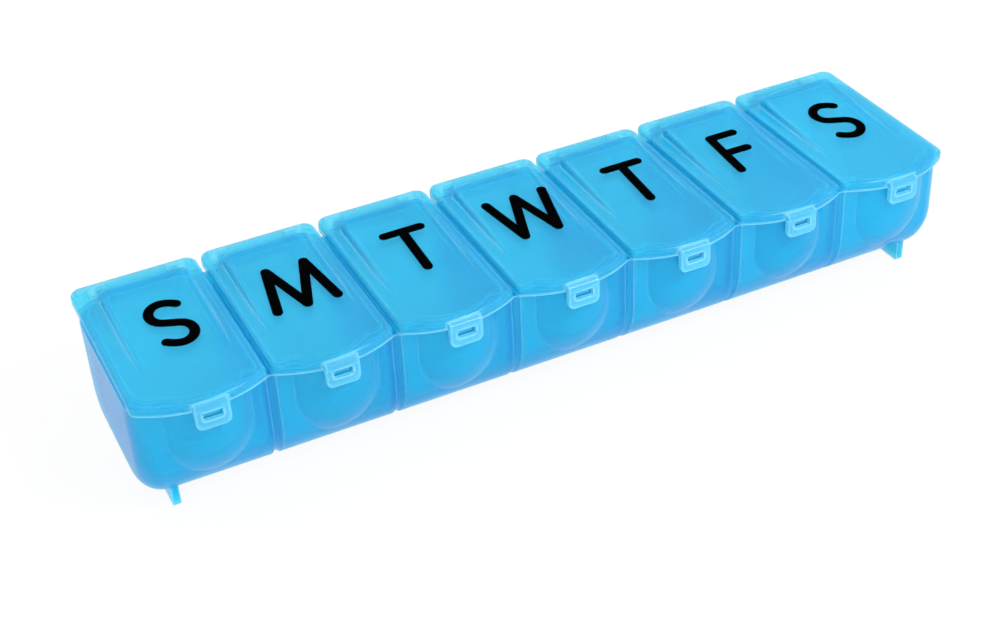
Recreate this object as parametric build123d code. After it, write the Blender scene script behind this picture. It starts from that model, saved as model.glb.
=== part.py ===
from build123d import *
import math
import os

os.makedirs("parts", exist_ok=True)

# A one-row weekly pill organizer: a tray of seven pockets, each closed by its own flip-up lid.
# Frame: X runs along the row, Y from the latches to the hinges, Z up from the feet.
# The origin lies under the middle of the whole piece, on the surface it stands on.

# ---------------------------------------------------------------- driving dimensions (mm)
DAYS = ("sunday", "monday", "tuesday", "wednesday", "thursday", "friday", "saturday")
LETTERS = ("S", "M", "T", "W", "T", "F", "S")

# tray
pitch = 31.0               # centre to centre of the pockets
end_cap = 1.7              # end wall beyond the last half pitch
tray_depth = 48.4          # front web to back wall, outside
tray_height = 29.9         # underside to wall tops
front_bottom_radius = 15.4
back_bottom_radius = 11.3
end_radius = 6.8           # round all round each end
wall = 1.4
floor_thickness = 1.6
partition = 2.4
pocket_corner = 2.0

# bowed front of each pocket
bow_half_width = 10.4
bow_reach = 3.55
bow_drop = 9.5             # wall top to the middle of the bow's round lower end
groove_radius = 1.25
groove_depth = 0.7

# runners under the ends
foot_height = 2.0
foot_thickness = 2.0
foot_inset = 5.85          # last half pitch to the runner's middle
foot_setback = 5.3         # from the front web, and from the back wall
foot_corner = 0.8

# lids
lid_gap = 1.2
lid_end_extra = 1.9        # the end lids' extra width, outwards
lid_end_corner = 2.2       # the end lids' outer front corner
lid_rim = 2.6
lid_plate = 1.3
lid_lip = 0.7              # lip inside the pocket's opening
lid_bow = 4.2              # front edge, corners to middle
lid_overhang = 4.9         # past the back wall
lid_front_corner = 1.2
lid_back_corner = 3.0
lid_edge_radius = 0.8
seat_gap = 0.2             # lid above the wall tops

# raised, sloping label panel on each lid
panel_half_width = 11.2
panel_start = 12.4         # front web to the slope's foot
panel_end = 45.4           # front web to the panel's back
panel_rise = 2.75
panel_corner = 1.8
panel_edge_radius = 0.6
panel_inner_corner = 0.8
panel_inner_edge = 0.3
panel_root = 0.4           # how far the panel reaches down into the lid's plate

# latch: a windowed tab on the lid over a catch on the tray
tab_width = 8.5
tab_thickness = 1.1
tab_ahead = 1.3            # in front of the lid's edge
tab_drop = 4.7             # below the lid's rim
tab_shoulder = 1.9         # the tab's root, up the lid's rim
tab_corner = 1.8
tab_root_round = 1.0       # top front edge of the root
tab_edge_radius = 0.3
window_margin = 0.4        # window to catch, sideways
window_height = 2.2
window_top_gap = 0.1       # below the lid's rim
catch_width = 3.9
catch_height = 1.7
catch_round = 0.25
catch_top_gap = 0.1        # below the wall top
latch_clearance = 0.3      # catch to the tab's inner face

# hinges
pin_radius = 0.8
pin_fit = 0.05             # radial play, knuckle on pin
ear_fit = 0.02             # radial play, pin in its ears
knuckle_radius = 1.9
knuckle_length = 15.4
ear_radius = 1.7
ear_thickness = 2.4
ear_gap = 0.3              # ear to knuckle, along the pin
ear_root = 6.0             # ear's foot down the back wall
hinge_wall_gap = 1.0       # knuckle to the back wall
hinge_clearance = 0.3      # ear's top to the lid's plate
hinge_bay_margin = 2.0     # free width beside the ears

# day letters, printed on the panels
letter_height = 18.0
letter_stroke = 2.5
letter_depth = 0.15
letter_offset = 1.0        # to the right of the lid's middle
letter_middle = 26.0       # front web to the letters' middle

# the letters' proportions, as shares of their height, from the middle outwards
m_foot_share, m_top_share = 0.42, 0.27
w_top_share, w_foot_share = 0.435, 0.256
t_arm_share = 0.27
f_stem_share, f_arm_share, f_waist_share = 0.22, 0.165, 0.012
s_bowl_share, s_shift_share = 0.203, 0.028
s_tip_share = 0.39
s_tip_angle, s_crest_angle = 50, 75     # degrees

# modelling allowances
over = 1.0                 # a cutter runs this far past what it cuts
near = 1e-4                # two places closer than this are the same

# ---------------------------------------------------------------- levels and places
half_row = pitch * len(DAYS) / 2
tray_half = half_row + end_cap
front_reach = lid_bow + tab_ahead
web_y = front_reach - (front_reach + tray_depth + lid_overhang) / 2
back_y = web_y + tray_depth
tray_z = foot_height
wall_top = tray_z + tray_height
lid_bottom = wall_top + seat_gap
lid_top = lid_bottom + lid_rim
plate_bottom = lid_top - lid_plate
pocket_half = (pitch - partition) / 2
lid_half = (pitch - lid_gap) / 2
lid_back_y = back_y + lid_overhang
hinge_y = back_y + hinge_wall_gap + knuckle_radius
hinge_z = plate_bottom - hinge_clearance - ear_radius
ear_outer = knuckle_length / 2 + ear_gap + ear_thickness
bow_radius = (bow_half_width**2 + bow_reach**2) / (2 * bow_reach)
bow_y = web_y - bow_reach + bow_radius
bow_z = wall_top - bow_drop
lid_bow_radius = (lid_half**2 + lid_bow**2) / (2 * lid_bow)
lid_bow_y = web_y - lid_bow + lid_bow_radius
panel_slope = math.atan2(panel_rise, panel_end - panel_start)


def block(x0, x1, y0, y1, z0, z1):
    """A box between two corners."""
    middle = ((x0 + x1) / 2, (y0 + y1) / 2, (z0 + z1) / 2)
    return Pos(*middle) * Box(x1 - x0, y1 - y0, z1 - z0)


def cell_x(index):
    """Middle of a pocket along the row."""
    return (index - (len(DAYS) - 1) / 2) * pitch


def pocket_sides(index):
    """A pocket's two inner sides; the end pockets run on to the end walls."""
    left = wall - tray_half if index == 0 else cell_x(index) - pocket_half
    right = tray_half - wall if index == len(DAYS) - 1 else cell_x(index) + pocket_half
    return left, right


def pocket_corners(index):
    """The radius round each of a pocket's two sides."""
    end_inner = end_radius - wall
    left = end_inner if index == 0 else pocket_corner
    right = end_inner if index == len(DAYS) - 1 else pocket_corner
    return left, right


def extruded_along_x(outline, x0, x1):
    """A YZ outline, drawn as (y, z), made solid from x0 to x1."""
    face = Plane.YZ.offset(x0) * outline
    return extrude(face, amount=x1 - x0)


def side_outline(inset_wall, inset_floor, top):
    """The tray's side view, or the pocket's, inset by a wall and a floor."""
    front = web_y + inset_wall
    back = back_y - inset_wall
    bottom = tray_z + inset_floor
    front_r = front_bottom_radius - inset_wall
    back_r = back_bottom_radius - inset_wall
    turn = 1 - math.sqrt(0.5)
    front_mid = (front + front_r * turn, bottom + front_r * turn)
    back_mid = (back - back_r * turn, bottom + back_r * turn)
    path = [
        Line((back, top), (front, top)),
        Line((front, top), (front, bottom + front_r)),
        ThreePointArc((front, bottom + front_r), front_mid, (front + front_r, bottom)),
        Line((front + front_r, bottom), (back - back_r, bottom)),
        ThreePointArc((back - back_r, bottom), back_mid, (back, bottom + back_r)),
        Line((back, bottom + back_r), (back, top)),
    ]
    return make_face(Wire(path))


def round_end(solid, x, radius, top):
    """Round every edge of the end face at x, but not its top edge."""
    edges = solid.edges().filter_by(lambda e: abs(e.center().X - x) < near and e.center().Z < top - near)
    return fillet(edges, radius)


def bow(x, radius, top):
    """The bowed front: an upright round with a ball end, kept to its own strip of the front."""
    upright = Pos(x, bow_y, (bow_z + top) / 2) * Cylinder(radius, top - bow_z)
    ball = Pos(x, bow_y, bow_z) * Sphere(radius)
    front = bow_y - radius - over
    strip = block(x - bow_half_width, x + bow_half_width, front, bow_y, bow_z - radius - over, top)
    return (upright + ball) & strip


def pocket(index):
    """The hollow of one pocket, open past the wall tops."""
    top = wall_top + over
    left, right = pocket_sides(index)
    left_corner, right_corner = pocket_corners(index)
    hollow = extruded_along_x(side_outline(wall, floor_thickness, top), left, right)
    hollow = round_end(hollow, left, left_corner, top)
    hollow = round_end(hollow, right, right_corner, top)
    return hollow + bow(cell_x(index), bow_radius - wall, top)


def groove():
    """A round groove down the front and under its curve, at x = 0."""
    path_y = web_y - (groove_radius - groove_depth)
    path_r = front_bottom_radius + groove_radius - groove_depth
    turn_y = path_y + path_r
    turn_z = tray_z + front_bottom_radius
    top = wall_top + over
    upright = Pos(0, path_y, (turn_z + top) / 2) * Cylinder(groove_radius, top - turn_z)
    ring = Pos(0, turn_y, turn_z) * Rot(0, 90, 0) * Torus(path_r, groove_radius)
    outer = groove_radius + over
    quarter = block(-groove_radius, groove_radius, path_y - outer, turn_y, turn_z - path_r - outer, turn_z)
    return upright + (ring & quarter)


def catch(x):
    """The catch on the bowed front, with rounded edges."""
    front = web_y - lid_bow - tab_ahead + tab_thickness + latch_clearance
    top = wall_top - catch_top_gap
    depth = bow_y - bow_radius + wall / 2 - front
    body = block(x - catch_width / 2, x + catch_width / 2, front, front + depth, top - catch_height, top)
    face_edges = body.edges().filter_by(lambda e: abs(e.center().Y - front) < near)
    return fillet(face_edges, catch_round)


def runner(side):
    """A thin runner under one end; the pockets, cut later, take its top down to the floor."""
    x = side * (half_row - foot_inset)
    front = web_y + foot_setback
    back = back_y - foot_setback
    top = tray_z + front_bottom_radius / 2
    body = block(x - foot_thickness / 2, x + foot_thickness / 2, front, back, 0, top)
    ends = body.edges().filter_by(Axis.X).sort_by(Axis.Z)[:2]
    return fillet(ends, foot_corner)


def hinge_ears(x):
    """Two ears on the back wall, bored for the pin."""
    foot = hinge_z - ear_radius - ear_root
    outline = make_face(
        Polyline(
            (back_y - wall / 2, foot),
            (back_y, foot),
            (hinge_y + ear_radius, hinge_z),
            (hinge_y, hinge_z + ear_radius),
            (back_y - wall / 2, wall_top - seat_gap),
            close=True,
        )
    )
    outline = outline + Pos(hinge_y, hinge_z) * Circle(ear_radius)
    outline = outline - Pos(hinge_y, hinge_z) * Circle(pin_radius + ear_fit)
    inner = ear_outer - ear_thickness
    left = extruded_along_x(outline, x - ear_outer, x - inner)
    right = extruded_along_x(outline, x + inner, x + ear_outer)
    return left + right


def make_tray():
    """The moulded tray: shell, bowed fronts, grooves, catches, runners and hinge ears."""
    body = extruded_along_x(side_outline(0, 0, wall_top), -tray_half, tray_half)
    body = round_end(body, -tray_half, end_radius, wall_top)
    body = round_end(body, tray_half, end_radius, wall_top)
    body = body + runner(-1) + runner(1)
    cells = [cell_x(i) for i in range(len(DAYS))]
    for x in cells:
        body = body + bow(x, bow_radius, wall_top)
    for x in cells[1:]:
        body = body - Pos(x - pitch / 2, 0, 0) * groove()
    for index, x in enumerate(cells):
        body = body - pocket(index) + catch(x) + hinge_ears(x)
    return body


def lid_outline(x, left, right, left_corner, right_corner):
    """A lid seen from above: straight sides and back, bowed front, round corners."""
    left_y = lid_bow_y - math.sqrt(lid_bow_radius**2 - left**2)
    right_y = lid_bow_y - math.sqrt(lid_bow_radius**2 - right**2)
    path = [
        Line((x - left, lid_back_y), (x - left, left_y)),
        ThreePointArc((x - left, left_y), (x, web_y - lid_bow), (x + right, right_y)),
        Line((x + right, right_y), (x + right, lid_back_y)),
        Line((x + right, lid_back_y), (x - left, lid_back_y)),
    ]
    face = make_face(Wire(path))
    corners = (
        (x - left, lid_back_y, lid_back_corner),
        (x + right, lid_back_y, lid_back_corner),
        (x - left, left_y, left_corner),
        (x + right, right_y, right_corner),
    )
    for corner_x, corner_y, radius in corners:
        face = fillet(face.vertices().sort_by_distance((corner_x, corner_y, 0))[0], radius)
    return face


def lid_recess(index):
    """The hollow under a lid's plate, just inside the pocket's opening."""
    x = cell_x(index)
    left, right = pocket_sides(index)
    left_corner, right_corner = pocket_corners(index)
    front = web_y + wall + lid_lip
    back = back_y - wall - lid_lip
    hollow = block(left + lid_lip, right - lid_lip, front, back, lid_bottom, plate_bottom)
    uprights = hollow.edges().filter_by(Axis.Z).sort_by(Axis.X)
    hollow = fillet(uprights[:2], left_corner - lid_lip)
    uprights = hollow.edges().filter_by(Axis.Z).sort_by(Axis.X)
    hollow = fillet(uprights[-2:], right_corner - lid_lip)
    bow_inner = bow_radius - wall - lid_lip
    middle = (lid_bottom + plate_bottom) / 2
    round_front = Pos(x, bow_y, middle) * Cylinder(bow_inner, plate_bottom - lid_bottom)
    front = bow_y - bow_radius
    strip = block(x - bow_half_width, x + bow_half_width, front, bow_y, lid_bottom, plate_bottom)
    return hollow + (round_front & strip)


def panel(x, inset, drop, corner, edge):
    """The sloping label panel, or its hollow when inset and dropped by the plate."""
    half = panel_half_width - inset
    back = (panel_end - panel_start - inset) / math.cos(panel_slope)
    deep = panel_rise + lid_rim
    run_in = deep / math.tan(panel_slope)
    slab = block(-half, half, -run_in, back, -deep, 0)
    slab = fillet(slab.edges().filter_by(Axis.Z), corner)
    slab = fillet(slab.faces().sort_by(Axis.Z)[-1].edges(), edge)
    base = lid_top - drop
    slab = Pos(x, web_y + panel_start, base) * Rot(math.degrees(panel_slope), 0, 0) * slab
    above = block(x - half, x + half, web_y, back_y, base - panel_root, base + panel_rise + over)
    return slab & above


def latch_tab(x):
    """The latch: a round-cornered tab with a window for the catch, and its root on the lid's rim."""
    front = web_y - lid_bow - tab_ahead
    inner = front + tab_thickness
    root_back = web_y - lid_bow + lid_rim
    half = tab_width / 2
    foot = lid_bottom - tab_drop
    top = lid_bottom + tab_shoulder
    outline = make_face(
        Polyline(
            (front, foot), (front, top), (root_back, top), (root_back, lid_bottom),
            (inner, lid_bottom), (inner, foot), close=True,
        )
    )
    outline = fillet(outline.vertices().sort_by_distance((front, top, 0))[0], tab_root_round)
    tab = extruded_along_x(outline, x - half, x + half)
    lower = tab.edges().filter_by(Axis.Y).sort_by(Axis.Z)[:2]
    tab = fillet(lower, tab_corner)
    root_foot = top - tab_root_round
    rim = tab.edges().filter_by(lambda e: abs(e.center().Y - front) < near and e.center().Z < root_foot - near)
    tab = fillet(rim, tab_edge_radius)
    window_half = catch_width / 2 + window_margin
    window_top = lid_bottom - window_top_gap
    window_foot = window_top - window_height
    return tab - block(x - window_half, x + window_half, front - over, inner + over, window_foot, window_top)


def knuckle(x):
    """The lid's hinge barrel and the web that joins it to the plate."""
    outline = Pos(hinge_y, hinge_z) * Circle(knuckle_radius)
    web = Pos(hinge_y, (hinge_z + plate_bottom + lid_plate / 2) / 2)
    outline = outline + web * Rectangle(2 * knuckle_radius, plate_bottom + lid_plate / 2 - hinge_z)
    outline = outline - Pos(hinge_y, hinge_z) * Circle(pin_radius + pin_fit)
    return extruded_along_x(outline, x - knuckle_length / 2, x + knuckle_length / 2)


def make_lid(index):
    """One lid: rimmed plate, sloping panel, latch tab and hinge knuckle."""
    x = cell_x(index)
    last = len(DAYS) - 1
    left = lid_half + (lid_end_extra if index == 0 else 0)
    right = lid_half + (lid_end_extra if index == last else 0)
    left_corner = lid_end_corner if index == 0 else lid_front_corner
    right_corner = lid_end_corner if index == last else lid_front_corner
    outline = lid_outline(x, left, right, left_corner, right_corner)
    body = extrude(Pos(0, 0, lid_bottom) * outline, amount=lid_rim)
    top_edges = body.faces().sort_by(Axis.Z)[-1].edges()
    body = fillet(top_edges, lid_edge_radius)
    body = body + panel(x, 0, 0, panel_corner, panel_edge_radius)
    body = body - lid_recess(index)
    body = body - panel(x, lid_plate, lid_plate, panel_inner_corner, panel_inner_edge)
    bay = ear_outer + hinge_bay_margin
    bay_back = lid_back_y + over
    body = body - block(x - bay, x + bay, back_y + seat_gap, bay_back, lid_bottom - over, plate_bottom)
    return body + latch_tab(x) + knuckle(x)


def make_pin(index):
    """One hinge pin, as long as its two ears are apart outside."""
    return Pos(cell_x(index), hinge_y, hinge_z) * Rot(0, 90, 0) * Cylinder(pin_radius, 2 * ear_outer)


def bar(start, end):
    """A straight stroke with round ends."""
    return SlotCenterToCenter(math.dist(start, end), letter_stroke).locate(
        Location(
            ((start[0] + end[0]) / 2, (start[1] + end[1]) / 2, 0),
            (0, 0, math.degrees(math.atan2(end[1] - start[1], end[0] - start[0]))),
        )
    )


def bend(centre, radius, angle_from, angle_to):
    """A curved stroke with round ends, angles in degrees."""
    arc = CenterArc(centre, radius, angle_from, angle_to - angle_from)
    return SlotArc(arc, letter_stroke)


def strokes(letter):
    """The strokes of a day letter, about the letter's own middle."""
    high = (letter_height - letter_stroke) / 2
    if letter == "M":
        feet, tops = m_foot_share * letter_height, m_top_share * letter_height
        return [
            bar((-feet, -high), (-tops, high)),
            bar((-tops, high), (0, -high)),
            bar((0, -high), (tops, high)),
            bar((tops, high), (feet, -high)),
        ]
    if letter == "W":
        tops, feet = w_top_share * letter_height, w_foot_share * letter_height
        return [
            bar((-tops, high), (-feet, -high)),
            bar((-feet, -high), (0, high)),
            bar((0, high), (feet, -high)),
            bar((feet, -high), (tops, high)),
        ]
    if letter == "T":
        arm = t_arm_share * letter_height
        return [bar((-arm, high), (arm, high)), bar((0, high), (0, -high))]
    if letter == "F":
        stem, arm = -f_stem_share * letter_height, f_arm_share * letter_height
        waist = f_waist_share * letter_height
        return [
            bar((stem, high), (stem, -high)),
            bar((stem, high), (arm, high)),
            bar((stem, waist), (arm - waist, waist)),
        ]
    # S: a round bowl, a flatter arc to its tip and half of the straight spine, then the same turned over
    bowl = s_bowl_share * letter_height
    centre = (-s_shift_share * letter_height, high - bowl)
    tip_radius = s_tip_share * letter_height
    crest = math.radians(s_crest_angle)
    shift = bowl - tip_radius
    tip_centre = (centre[0] + shift * math.cos(crest), centre[1] + shift * math.sin(crest))
    reach = math.hypot(*centre)
    spine_angle = math.atan2(centre[1], centre[0]) + math.asin(bowl / reach)
    spine_half = math.sqrt(reach**2 - bowl**2)
    joint = (spine_half * math.cos(spine_angle), spine_half * math.sin(spine_angle))
    bowl_end = math.degrees(math.atan2(joint[1] - centre[1], joint[0] - centre[0])) % 360
    half = [
        bend(centre, bowl, s_crest_angle, bowl_end),
        bend(tip_centre, tip_radius, s_tip_angle, s_crest_angle),
    ]
    return half + [Rot(0, 0, 180) * piece for piece in half] + [bar(joint, (-joint[0], -joint[1]))]


def make_mark(index):
    """The printed letter on a lid's sloping panel."""
    along = letter_middle - panel_start
    height = lid_top + along * math.tan(panel_slope)
    plane = Plane(
        origin=(cell_x(index) + letter_offset, web_y + letter_middle, height),
        x_dir=(1, 0, 0),
        z_dir=(0, -math.sin(panel_slope), math.cos(panel_slope)),
    )
    pieces = strokes(LETTERS[index])
    face = pieces[0]
    for piece in pieces[1:]:
        face = face + piece
    return extrude(plane * face, amount=letter_depth)


def save(solid, name):
    """Write one piece under its own name."""
    export_step(solid, f"parts/{name}.step")


save(make_tray(), "tray")
for number, day in enumerate(DAYS):
    save(make_lid(number), f"lid_{day}")
    save(make_pin(number), f"hinge_pin_{day}")
    save(make_mark(number), f"day_mark_{day}")
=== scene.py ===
import math

import bpy
from bpy.props import FloatProperty, FloatVectorProperty, IntProperty, PointerProperty
from mathutils import Euler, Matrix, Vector


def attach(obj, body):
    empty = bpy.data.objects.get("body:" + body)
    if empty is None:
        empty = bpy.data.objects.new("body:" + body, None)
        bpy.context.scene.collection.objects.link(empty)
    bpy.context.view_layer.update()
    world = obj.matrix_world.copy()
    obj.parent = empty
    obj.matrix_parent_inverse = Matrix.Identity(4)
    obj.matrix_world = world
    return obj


bl_info = {
    "name": "Weekly pill organizer",
    "version": (1, 0, 0),
    "blender": (4, 5, 0),
    "location": "3D View > Sidebar > Pill organizer",
    "description": "Dresses a one-row weekly pill organizer with its translucent plastic, print and stage",
    "category": "Object",
}

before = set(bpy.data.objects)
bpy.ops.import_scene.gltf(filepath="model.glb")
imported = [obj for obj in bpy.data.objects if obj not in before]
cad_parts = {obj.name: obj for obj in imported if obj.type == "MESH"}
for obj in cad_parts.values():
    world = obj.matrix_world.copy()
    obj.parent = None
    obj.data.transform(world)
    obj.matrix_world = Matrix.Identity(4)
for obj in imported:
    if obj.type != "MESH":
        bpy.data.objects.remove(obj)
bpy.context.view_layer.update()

DAYS = ("sunday", "monday", "tuesday", "wednesday", "thursday", "friday", "saturday")
PITCH = 0.031
FLOOR_TOP = 0.0036         # the pockets' floor above the ground
GATE_SINK = 0.00005        # how far a gate nub's foot is set into the floor
LATCH_SIDES = (0.0040, 0.0052)      # from a lid's middle: wholly paled, not paled
LATCH_FRONTS = (0.0276, 0.0279)     # ahead of the tray's middle: not paled, wholly paled
LATCH_FEET = (0.0265, 0.0280)       # above the ground: not paled, wholly paled

# finishes
BEVEL_SAMPLES = 6
EDGE_TURN = (0.0, 0.3)     # how far the surface turns within an edge's width: none of an edge, all of it
UNEVEN = (0.3, 0.7)        # the range of a noise that its two tones are spread over
RIPPLE_SCALE, GRAIN_SCALE, RUB_SCALE = 55.0, 900.0, 160.0
RUB_STRETCH = (1.0, 0.25, 1.0)
TINT_DIP, MILK_SWING = 0.97, 0.03
INK_GRAIN_SCALE, INK_BLOTCH_SCALE = 2600.0, 420.0
INK_INDEX = 1.5
WHITE = (1, 1, 1, 1)

# stage
FLOOR_REACH = 6.0
FLOOR_SEEN, FLOOR_MIRRORED = 0.93, 0.7     # how white the camera and the plastic see the floor
AIM = (0, 0, 0.02)         # what the lamps point at
SENSOR_WIDTH = 36.0        # millimetres
CLIP_START = 0.01
CLEAR_BOUNCES = 32         # walls of plastic that light may pass


# ---------------------------------------------------------------- shader building
class Value:
    """One number socket of a material, with Python's operators."""

    def __init__(self, build, socket):
        self.build = build
        self.socket = socket

    def _maths(self, operation, *values):
        return self.build.maths(operation, *values)

    def __add__(self, other):
        return self._maths("ADD", self, other)

    __radd__ = __add__

    def __sub__(self, other):
        return self._maths("SUBTRACT", self, other)

    def __rsub__(self, other):
        return self._maths("SUBTRACT", other, self)

    def __mul__(self, other):
        return self._maths("MULTIPLY", self, other)

    __rmul__ = __mul__


class Finish:
    """A material or world under construction, with one method that adds any node."""

    def __init__(self, owner):
        self.owner = owner
        owner.use_nodes = True
        self.tree = owner.node_tree
        self.tree.nodes.clear()

    def node(self, kind, settings=None, **sockets):
        """Adds a node: its settings first, then the values or links of its sockets."""
        made = self.tree.nodes.new("ShaderNode" + kind)
        for name, value in (settings or {}).items():
            if name == "stops":
                ramp = made.color_ramp
                ramp.elements[0].position, ramp.elements[0].color = value[0]
                ramp.elements[1].position, ramp.elements[1].color = value[-1]
                for place, colour in value[1:-1]:
                    ramp.elements.new(place).color = colour
            else:
                setattr(made, name, value)
        for name, value in sockets.items():
            key = int(name[1:]) if name[0] == "i" and name[1:].isdigit() else name.replace("_", " ")
            self.feed(made.inputs[key], value)
        return made

    def feed(self, socket, value):
        """Links a socket, or sets its value."""
        if isinstance(value, Value):
            value = value.socket
        if isinstance(value, bpy.types.NodeSocket):
            self.tree.links.new(value, socket)
        else:
            socket.default_value = value

    def maths(self, operation, *values):
        made = self.node("Math", {"operation": operation}, **{f"i{n}": v for n, v in enumerate(values)})
        return Value(self, made.outputs[0])

    def place(self, scale=None):
        """The piece's own coordinates, in metres, scaled where a scale is given."""
        where = self.node("TexCoord").outputs["Object"]
        return where if scale is None else self.node("Mapping", Vector=where, Scale=scale).outputs["Vector"]

    def noise(self, scale, detail=2.0, roughness=0.5, vector=None):
        where = vector or self.place()
        made = self.node("TexNoise", Vector=where, Scale=scale, Detail=detail, Roughness=roughness)
        return Value(self, made.outputs["Fac"])

    def spread(self, value, low, high, to_low=0.0, to_high=1.0):
        """Maps a range of a value to another range, kept within it."""
        sockets = {"Value": value, "From_Min": low, "From_Max": high, "To_Min": to_low, "To_Max": to_high}
        made = self.node("MapRange", {"clamp": True}, **sockets)
        return Value(self, made.outputs["Result"])

    def blend_colours(self, factor, first, second):
        made = self.node("Mix", {"data_type": "RGBA"}, Factor=factor)
        self.feed(made.inputs[6], first)
        self.feed(made.inputs[7], second)
        return made.outputs[2]

    def bumps(self, *layers):
        """Bump nodes one after another, each a height, a strength and a depth in metres."""
        normal = None
        for height, strength, depth in layers:
            made = self.node("Bump", Height=height, Strength=strength, Distance=depth)
            if normal is not None:
                self.feed(made.inputs["Normal"], normal)
            normal = made.outputs["Normal"]
        return normal

    def edges(self, radius):
        """One along edges and in creases of about this radius, zero on flat and gently curved places; the
        mask of the painted edge highlight.
        """
        soft = self.node("Bevel", {"samples": BEVEL_SAMPLES}, Radius=radius)
        true = self.node("NewGeometry")
        turned = self.node(
            "VectorMath", {"operation": "DOT_PRODUCT"}, i0=soft.outputs[0], i1=true.outputs["Normal"]
        )
        return self.spread(1.0 - Value(self, turned.outputs["Value"]), *EDGE_TURN)

    def latches(self):
        """One on the latch tabs and on the catches behind them, which are drawn paler, zero elsewhere."""
        where = self.node("SeparateXYZ", Vector=self.place())
        across, along, up = (Value(self, socket) for socket in where.outputs)
        off_middle = self.maths("ABSOLUTE", self.maths("WRAP", across, PITCH / 2, -PITCH / 2))
        near_middle = self.spread(off_middle, *LATCH_SIDES, 1.0, 0.0)
        in_front = self.spread(-1.0 * along, *LATCH_FRONTS)
        high = self.spread(up, *LATCH_FEET)
        return near_middle * in_front * high

    def finished(self, surface, volume=None):
        out = self.node("OutputWorld" if isinstance(self.owner, bpy.types.World) else "OutputMaterial")
        self.feed(out.inputs["Surface"], surface)
        if volume is not None:
            self.feed(out.inputs["Volume"], volume)
        return self.owner


def opaque(colour):
    """A colour with its alpha."""
    return (*colour, 1.0)


# ---------------------------------------------------------------- settings
class PlasticSettings(bpy.types.PropertyGroup):
    depth_colour: FloatVectorProperty(
        name="Depth colour",
        description="Colour that light keeps on its way through the plastic",
        subtype="COLOR",
        min=0.0,
        max=1.0,
        default=(0.0, 0.92, 0.99),
    )
    tray_depth: FloatProperty(
        name="Tray depth of colour",
        description="Absorption of the tray's plastic, per metre",
        min=0.0,
        max=5000.0,
        default=900.0,
    )
    lid_depth: FloatProperty(
        name="Lid depth of colour",
        description="Absorption of the lids' plastic, per metre",
        min=0.0,
        max=5000.0,
        default=500.0,
    )
    pin_depth: FloatProperty(
        name="Pin depth of colour",
        description="Absorption of the hinge pins' plastic, per metre",
        min=0.0,
        max=5000.0,
        default=900.0,
    )
    surface_tint: FloatVectorProperty(
        name="Surface tint",
        description="Colour that light takes on at the plastic's surface",
        subtype="COLOR",
        min=0.0,
        max=1.0,
        default=(0.86, 0.985, 1.0),
    )
    haze: FloatVectorProperty(
        name="Haze",
        description="Colour of the milky part of the plastic",
        subtype="COLOR",
        min=0.0,
        max=1.0,
        default=(0.004, 0.60, 0.96),
    )
    # Painted highlight: the paler colour and the extra milky share along edges and creases stand in for the
    # light that rounded edges catch.
    edge_highlight_haze: FloatVectorProperty(
        name="Edge haze",
        description="Paler colour that the plastic shows along its edges and creases",
        subtype="COLOR",
        min=0.0,
        max=1.0,
        default=(0.42, 0.86, 1.0),
    )
    edge_highlight_share: FloatProperty(
        name="Edge paleness",
        description="Extra share of light that edges and creases scatter",
        subtype="FACTOR",
        min=0.0,
        max=1.0,
        default=0.36,
    )
    latch_share: FloatProperty(
        name="Latch paleness",
        description="Extra share of light that the latch tabs and catches scatter",
        subtype="FACTOR",
        min=0.0,
        max=1.0,
        default=0.10,
    )
    latch_tone: FloatProperty(
        name="Latch tone",
        description="How far the latch tabs and catches take the paler edge colour",
        subtype="FACTOR",
        min=0.0,
        max=1.0,
        default=0.35,
    )
    # The widths of the painted edge highlight.
    tray_edge: FloatProperty(
        name="Tray edge width",
        description="How far the tray's paler edges reach",
        unit="LENGTH",
        min=0.0001,
        max=0.003,
        precision=5,
        default=0.001,
    )
    lid_edge: FloatProperty(
        name="Lid edge width",
        description="How far the lids' paler edges reach",
        unit="LENGTH",
        min=0.0001,
        max=0.003,
        precision=5,
        default=0.0019,
    )
    tray_haze: FloatProperty(
        name="Tray milkiness",
        description="Share of the light that the tray's plastic scatters instead of letting through",
        subtype="FACTOR",
        min=0.0,
        max=1.0,
        default=0.30,
    )
    lid_haze: FloatProperty(
        name="Lid milkiness",
        description="Share of the light that the lids' plastic scatters instead of letting through",
        subtype="FACTOR",
        min=0.0,
        max=1.0,
        default=0.22,
    )
    bend: FloatProperty(
        name="Glassiness",
        description="Share of the clear light that the plastic bends and mirrors, as thick glass does",
        subtype="FACTOR",
        min=0.0,
        max=1.0,
        default=0.40,
    )
    shine: FloatProperty(
        name="Shine",
        description="Specular level of the plastic",
        subtype="FACTOR",
        min=0.0,
        max=1.0,
        default=0.25,
    )
    index: FloatProperty(
        name="Refractive index", description="Of the clear plastic", min=1.0, max=2.0, default=1.49
    )
    gloss: FloatProperty(
        name="Roughness",
        description="Of the moulded surfaces",
        subtype="FACTOR",
        min=0.0,
        max=1.0,
        default=0.2,
    )
    skin_share: FloatProperty(
        name="Skin share",
        description="How much of a clean surface's mirroring the plastic's skin keeps",
        subtype="FACTOR",
        min=0.0,
        max=1.0,
        default=0.18,
    )
    skin_roughness: FloatProperty(
        name="Skin roughness",
        description="Of the outermost skin, which mirrors the lamps",
        subtype="FACTOR",
        min=0.0,
        max=1.0,
        default=0.12,
    )
    ripple: FloatProperty(
        name="Moulding ripple",
        description="Height of the slow ripples that moulding leaves",
        unit="LENGTH",
        min=0.0,
        max=0.001,
        precision=6,
        default=0.00002,
    )


class PrintSettings(bpy.types.PropertyGroup):
    ink: FloatVectorProperty(
        name="Ink",
        description="Colour of the printed day letters",
        subtype="COLOR",
        min=0.0,
        max=1.0,
        default=(0.0008, 0.0008, 0.001),
    )
    ink_roughness: FloatProperty(
        name="Ink roughness",
        description="Of the dried ink",
        subtype="FACTOR",
        min=0.0,
        max=1.0,
        default=0.42,
    )


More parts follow.
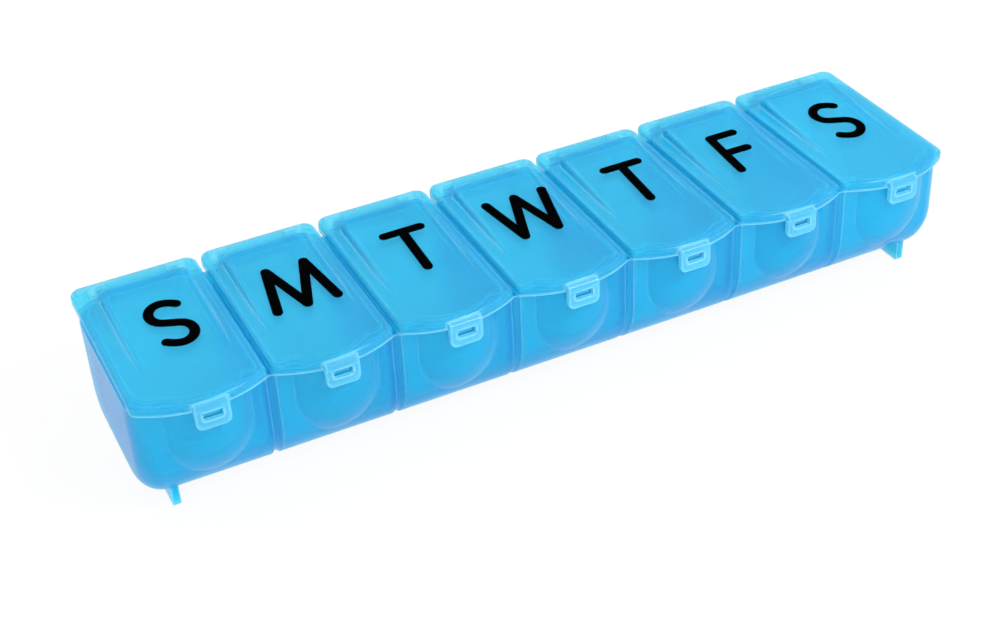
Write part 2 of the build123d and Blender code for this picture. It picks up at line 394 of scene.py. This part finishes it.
class MouldMarkSettings(bpy.types.PropertyGroup):
    gate_radius: FloatProperty(
        name="Gate radius",
        description="Radius of the nub left where the plastic entered, on each pocket's floor",
        unit="LENGTH",
        min=0.0002,
        max=0.003,
        precision=5,
        default=0.0011,
    )
    gate_height: FloatProperty(
        name="Gate height",
        description="Height of the nub above the floor",
        unit="LENGTH",
        min=0.0001,
        max=0.002,
        precision=5,
        default=0.0005,
    )
    gate_setback: FloatProperty(
        name="Gate place",
        description="From the middle of the pocket towards the hinges",
        unit="LENGTH",
        min=-0.02,
        max=0.02,
        precision=5,
        default=0.0,
    )
    gate_faces: IntProperty(name="Gate faces", description="Sides of each nub", min=6, max=48, default=24)


class StageSettings(bpy.types.PropertyGroup):
    camera_place: FloatVectorProperty(
        name="Camera place",
        description="Where the camera stands",
        subtype="TRANSLATION",
        unit="LENGTH",
        default=(-0.15997, -0.33345, 0.27180),
    )
    camera_turn: FloatVectorProperty(
        name="Camera turn",
        description="The camera's rotation",
        subtype="EULER",
        unit="ROTATION",
        default=(math.radians(54.547), math.radians(2.595), math.radians(-26.226)),
    )
    camera_lens: FloatProperty(
        name="Lens",
        description="Focal length, in millimetres, on a sensor 36 mm wide",
        min=10.0,
        max=300.0,
        default=63.2,
    )
    room_light: FloatProperty(
        name="Room light",
        description="Strength of the pale room around the object",
        min=0.0,
        max=5.0,
        default=0.88,
    )
    lamp_power: FloatProperty(
        name="Lamp",
        description="Power of the large soft lamp above the object",
        unit="POWER",
        min=0.0,
        max=50.0,
        default=0.5,
    )
    edge_lamp_power: FloatProperty(
        name="Edge lamp",
        description="Power of the smaller soft lamp that shows in the rounded front edges",
        unit="POWER",
        min=0.0,
        max=50.0,
        default=2.6,
    )
    floor_colour: FloatVectorProperty(
        name="Floor",
        description="Colour of the plain floor",
        subtype="COLOR",
        min=0.0,
        max=1.0,
        default=(0.92, 0.92, 0.92),
    )


# ---------------------------------------------------------------- finishes
def plastic(name, depth, milkiness, edge_width, settings):
    """Translucent moulded plastic: slightly milky, with its edges and creases painted paler as a highlight,
    paler latches, rippled and rubbed.
    """
    finish = Finish(bpy.data.materials.new(name))
    slow = finish.noise(RIPPLE_SCALE, 2.0, 0.4)
    fine = finish.noise(GRAIN_SCALE, 3.0, 0.6)
    rubbed = finish.noise(RUB_SCALE, 4.0, 0.65, finish.place(RUB_STRETCH))
    # Painted highlight: edges and creases are painted paler and milkier, standing in for the light that
    # rounded edges catch.
    edge = finish.edges(edge_width)
    paled = finish.latches()
    pale = finish.maths("MAXIMUM", edge, settings.latch_tone * paled)
    tint = tuple(settings.surface_tint)
    dip = opaque([c * TINT_DIP for c in tint])
    colour = finish.blend_colours(finish.spread(slow, *UNEVEN), dip, opaque(tint))
    gloss = settings.gloss + 0.05 * finish.spread(rubbed, 0.45, 0.75) + 0.02 * fine
    normal = finish.bumps((slow, 0.5, settings.ripple), (fine, 0.15, settings.ripple * 0.1))
    film = finish.node("BsdfTransparent", Color=colour)
    glassy = finish.node(
        "BsdfPrincipled",
        Base_Color=colour,
        Roughness=gloss,
        IOR=settings.index,
        Transmission_Weight=1.0,
        Normal=normal,
    )
    clear = finish.node("MixShader", Fac=settings.bend, i1=film.outputs[0], i2=glassy.outputs[0])
    # The milky part takes the painted edge highlight colour along edges and creases.
    milky = finish.node(
        "BsdfPrincipled",
        Base_Color=finish.blend_colours(pale, opaque(settings.haze), opaque(settings.edge_highlight_haze)),
        Roughness=gloss,
        IOR=settings.index,
        Specular_IOR_Level=settings.shine,
        Normal=normal,
    )
    share = finish.spread(slow, *UNEVEN, milkiness - MILK_SWING, milkiness + MILK_SWING)
    # Painted highlight: edges and creases get a larger milky share, which brightens them.
    share = share + settings.edge_highlight_share * edge + settings.latch_share * paled
    mixed = finish.node("MixShader", Fac=share, i1=clear.outputs[0], i2=milky.outputs[0])
    skin = finish.node("BsdfGlossy", Color=WHITE, Roughness=settings.skin_roughness, Normal=normal)
    mirror = Value(finish, finish.node("Fresnel", IOR=settings.index, Normal=normal).outputs[0])
    outside = 1.0 - Value(finish, finish.node("NewGeometry").outputs["Backfacing"])
    glint = settings.skin_share * mirror * outside
    surface = finish.node("MixShader", Fac=glint, i1=mixed.outputs[0], i2=skin.outputs[0])
    body = finish.node("VolumeAbsorption", Color=opaque(settings.depth_colour), Density=depth)
    return finish.finished(surface.outputs[0], body.outputs[0])


def ink(settings):
    """Dried black printing ink, a little uneven at its surface."""
    finish = Finish(bpy.data.materials.new("printed_ink"))
    grain = finish.noise(INK_GRAIN_SCALE, 3.0, 0.6)
    blotch = finish.noise(INK_BLOTCH_SCALE, 2.0, 0.5)
    dark = tuple(settings.ink)
    lighter = opaque([c * 1.8 for c in dark])
    colour = finish.blend_colours(finish.spread(blotch, 0.35, 0.7), opaque(dark), lighter)
    shader = finish.node(
        "BsdfPrincipled",
        Base_Color=colour,
        Roughness=settings.ink_roughness + 0.1 * grain,
        IOR=INK_INDEX,
        Specular_IOR_Level=0.0,
        Normal=finish.bumps((grain, 0.2, 0.00001)),
    )
    return finish.finished(shader.outputs[0])


def floor_finish(settings):
    """A plain floor that looks white to the camera and through the plastic, and keeps a soft shadow."""
    finish = Finish(bpy.data.materials.new("stage_floor"))
    seen = finish.node("LightPath")
    clear = finish.maths("MAXIMUM", seen.outputs["Is Glossy Ray"], seen.outputs["Is Transmission Ray"])
    camera = Value(finish, seen.outputs["Is Camera Ray"])
    share = finish.maths("MAXIMUM", FLOOR_MIRRORED * clear, FLOOR_SEEN * camera)
    dull = finish.node("BsdfDiffuse", Color=opaque(settings.floor_colour))
    bright = finish.node("Emission", Color=WHITE, Strength=1.0)
    mixed = finish.node("MixShader", Fac=share, i1=dull.outputs[0], i2=bright.outputs[0])
    return finish.finished(mixed.outputs[0])


class Geometry:
    """A Geometry Nodes tree under construction, with named inputs."""

    def __init__(self, name):
        self.tree = bpy.data.node_groups.new(name, "GeometryNodeTree")
        self.tree.interface.new_socket("Geometry", in_out="OUTPUT", socket_type="NodeSocketGeometry")
        self.inlets = self.tree.nodes.new("NodeGroupInput")
        self.outlet = self.tree.nodes.new("NodeGroupOutput")

    def inlet(self, name, kind, value, description):
        """Adds a named input with its default, and gives its socket for linking."""
        socket = self.tree.interface.new_socket(name, in_out="INPUT", socket_type="NodeSocket" + kind)
        socket.default_value = value
        socket.description = description
        return self.inlets.outputs[name]

    def node(self, kind, settings=None, **sockets):
        made = self.tree.nodes.new(kind)
        for name, value in (settings or {}).items():
            setattr(made, name, value)
        for name, value in sockets.items():
            target = made.inputs[name.replace("_", " ")]
            for one in value if isinstance(value, list) else [value]:
                if isinstance(one, bpy.types.NodeSocket):
                    self.tree.links.new(one, target)
                else:
                    target.default_value = one
        return made

    def maths(self, operation, first, second):
        made = self.node("ShaderNodeMath", {"operation": operation})
        for socket, value in zip(made.inputs, (first, second)):
            if isinstance(value, bpy.types.NodeSocket):
                self.tree.links.new(value, socket)
            else:
                socket.default_value = value
        return made.outputs[0]

    def vector(self, **parts):
        return self.node("ShaderNodeCombineXYZ", **parts).outputs[0]


def gate_tree(material):
    """A row of low round nubs with a pip on top, one in each pocket."""
    build = Geometry("gate_row")
    count = build.inlet("Count", "Int", 7, "Nubs in the row")
    pitch = build.inlet("Pitch", "Float", PITCH, "Middle to middle")
    radius = build.inlet("Radius", "Float", 0.0011, "Of a nub's foot")
    height = build.inlet("Height", "Float", 0.0005, "Of a nub")
    faces = build.inlet("Faces", "Int", 24, "Sides of a nub")
    place = build.inlet("Place", "Float", 0.0, "From the middle of the pocket towards the hinges")
    steps = build.maths("SUBTRACT", count, 1.0)
    first = build.maths("MULTIPLY", steps, build.maths("MULTIPLY", pitch, -0.5))
    line = build.node(
        "GeometryNodeMeshLine",
        {"mode": "OFFSET"},
        Count=count,
        Start_Location=build.vector(X=first, Y=place, Z=FLOOR_TOP - GATE_SINK),
        Offset=build.vector(X=pitch),
    )
    foot = build.node(
        "GeometryNodeMeshCone",
        Vertices=faces,
        Radius_Bottom=radius,
        Radius_Top=build.maths("MULTIPLY", radius, 0.75),
        Depth=height,
    )
    pip = build.node(
        "GeometryNodeMeshCone",
        Vertices=faces,
        Radius_Bottom=build.maths("MULTIPLY", radius, 0.4),
        Radius_Top=build.maths("MULTIPLY", radius, 0.25),
        Depth=height,
    )
    raised = build.node(
        "GeometryNodeTransform",
        Geometry=pip.outputs["Mesh"],
        Translation=build.vector(Z=build.maths("MULTIPLY", height, 0.5)),
    )
    nub = build.node(
        "GeometryNodeMeshBoolean", {"operation": "UNION"}, Mesh_2=[foot.outputs["Mesh"], raised.outputs[0]]
    )
    row = build.node("GeometryNodeInstanceOnPoints", Points=line.outputs[0], Instance=nub.outputs[0])
    solid = build.node("GeometryNodeRealizeInstances", Geometry=row.outputs[0])
    painted = build.node("GeometryNodeSetMaterial", Geometry=solid.outputs[0], Material=material)
    build.tree.links.new(painted.outputs[0], build.outlet.inputs[0])
    return build.tree


def grown(name, tree, **inputs):
    """A plain mesh object from a tree, with its inputs set by their identifiers first."""
    seed = bpy.data.objects.new(name + "_seed", bpy.data.meshes.new(name + "_seed"))
    bpy.context.scene.collection.objects.link(seed)
    modifier = seed.modifiers.new("grow", "NODES")
    modifier.node_group = tree
    for item in tree.interface.items_tree:
        if item.in_out == "INPUT" and item.name in inputs:
            modifier[item.identifier] = inputs[item.name]
    seed.update_tag()
    ready = seed.evaluated_get(bpy.context.evaluated_depsgraph_get())
    mesh = bpy.data.meshes.new_from_object(ready)
    mesh.name = name
    piece = bpy.data.objects.new(name, mesh)
    bpy.context.scene.collection.objects.link(piece)
    bpy.data.objects.remove(seed)
    return piece


def dress(nodes, material):
    """Puts one material on CAD nodes."""
    for name in nodes:
        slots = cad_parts[name].data.materials
        slots.clear()
        slots.append(material)


# ---------------------------------------------------------------- pieces
class PILL_OT_tray(bpy.types.Operator):
    """Gives the tray and its hinge pins their translucent plastic"""

    bl_idname = "pill.tray"
    bl_label = "Tray and pins"

    def execute(self, context):
        settings = context.scene.pill_plastic
        haze, edge = settings.tray_haze, settings.tray_edge
        dress(["tray"], plastic("tray_plastic", settings.tray_depth, haze, edge, settings))
        pins = plastic("pin_plastic", settings.pin_depth, haze, edge, settings)
        dress([f"hinge_pin_{day}" for day in DAYS], pins)
        return {"FINISHED"}


class PILL_OT_lids(bpy.types.Operator):
    """Gives the seven lids their clearer plastic"""

    bl_idname = "pill.lids"
    bl_label = "Lids"

    def execute(self, context):
        settings = context.scene.pill_plastic
        haze, edge = settings.lid_haze, settings.lid_edge
        material = plastic("lid_plastic", settings.lid_depth, haze, edge, settings)
        dress([f"lid_{day}" for day in DAYS], material)
        return {"FINISHED"}


class PILL_OT_letters(bpy.types.Operator):
    """Gives the printed day letters their ink"""

    bl_idname = "pill.letters"
    bl_label = "Day letters"

    def execute(self, context):
        dress([f"day_mark_{day}" for day in DAYS], ink(context.scene.pill_print))
        return {"FINISHED"}


class PILL_OT_gates(bpy.types.Operator):
    """Adds the nubs on the pockets' floors, where the plastic entered the mould"""

    bl_idname = "pill.gates"
    bl_label = "Mould marks"

    def execute(self, context):
        marks = context.scene.pill_marks
        piece = grown(
            "gate_marks",
            gate_tree(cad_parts["tray"].data.materials[0]),
            Radius=marks.gate_radius,
            Height=marks.gate_height,
            Faces=marks.gate_faces,
            Place=marks.gate_setback,
        )
        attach(piece, "tray")
        return {"FINISHED"}


class PILL_OT_stage(bpy.types.Operator):
    """Makes the floor, the light and the camera"""

    bl_idname = "pill.stage"
    bl_label = "Stage"

    def execute(self, context):
        settings = context.scene.pill_stage
        mesh = bpy.data.meshes.new("stage_floor")
        corners = [(x * FLOOR_REACH, y * FLOOR_REACH, 0) for x, y in ((-1, -1), (1, -1), (1, 1), (-1, 1))]
        mesh.from_pydata(corners, [], [(0, 1, 2, 3)])
        floor = bpy.data.objects.new("stage_floor", mesh)
        context.scene.collection.objects.link(floor)
        mesh.materials.append(floor_finish(settings))

        room = Finish(bpy.data.worlds.new("pale_room"))
        context.scene.world = room.owner
        around = room.node("Background", Color=WHITE, Strength=settings.room_light)
        backdrop = room.node("Background", Color=WHITE, Strength=1.0)
        seen = room.node("LightPath").outputs["Is Camera Ray"]
        mixed = room.node("MixShader", Fac=seen, i1=around.outputs[0], i2=backdrop.outputs[0])
        room.finished(mixed.outputs[0])

        lamps = (
            ("soft_lamp", (-0.25, 0.15, 0.65), (0.6, 0.4), settings.lamp_power),
            ("edge_lamp", (0.24, -0.40, 0.52), (0.22, 0.22), settings.edge_lamp_power),
        )
        for name, place, size, power in lamps:
            light = bpy.data.lights.new(name, "AREA")
            light.shape = "RECTANGLE"
            light.size, light.size_y = size
            light.energy = power
            lamp = bpy.data.objects.new(name, light)
            lamp.location = place
            lamp.rotation_euler = (Vector(AIM) - lamp.location).to_track_quat("-Z", "Y").to_euler()
            context.scene.collection.objects.link(lamp)

        camera = bpy.data.cameras.new("camera")
        camera.sensor_width = SENSOR_WIDTH
        camera.lens = settings.camera_lens
        camera.clip_start = CLIP_START
        viewer = bpy.data.objects.new("camera", camera)
        viewer.location = settings.camera_place
        viewer.rotation_euler = Euler(settings.camera_turn)
        context.scene.collection.objects.link(viewer)
        context.scene.camera = viewer
        context.scene.view_settings.view_transform = "Standard"
        context.scene.cycles.transparent_max_bounces = CLEAR_BOUNCES
        return {"FINISHED"}


class PILL_PT_panel(bpy.types.Panel):
    """Sizes, colours and steps of the pill organizer"""

    bl_idname = "PILL_PT_panel"
    bl_label = "Pill organizer"
    bl_space_type = "VIEW_3D"
    bl_region_type = "UI"
    bl_category = "Pill organizer"

    def draw(self, context):
        for title, group in GROUPS.items():
            box = self.layout.box()
            box.label(text=title)
            settings = getattr(context.scene, group[0])
            for name in group[1].__annotations__:
                box.prop(settings, name)
        for step in STEPS:
            self.layout.operator(step.bl_idname)


GROUPS = {
    "Plastic": ("pill_plastic", PlasticSettings),
    "Print": ("pill_print", PrintSettings),
    "Mould marks": ("pill_marks", MouldMarkSettings),
    "Stage": ("pill_stage", StageSettings),
}
STEPS = (PILL_OT_tray, PILL_OT_lids, PILL_OT_letters, PILL_OT_gates, PILL_OT_stage)


def register():
    for name, group in GROUPS.values():
        bpy.utils.register_class(group)
        setattr(bpy.types.Scene, name, PointerProperty(type=group))
    for step in (*STEPS, PILL_PT_panel):
        bpy.utils.register_class(step)


def unregister():
    for step in (PILL_PT_panel, *reversed(STEPS)):
        bpy.utils.unregister_class(step)
    for name, group in GROUPS.values():
        delattr(bpy.types.Scene, name)
        bpy.utils.unregister_class(group)


def main():
    """Dresses the frame piece by piece."""
    register()
    bpy.ops.pill.tray()
    bpy.ops.pill.lids()
    bpy.ops.pill.letters()
    bpy.ops.pill.gates()
    bpy.ops.pill.stage()


if __name__ == "__main__":
    main()
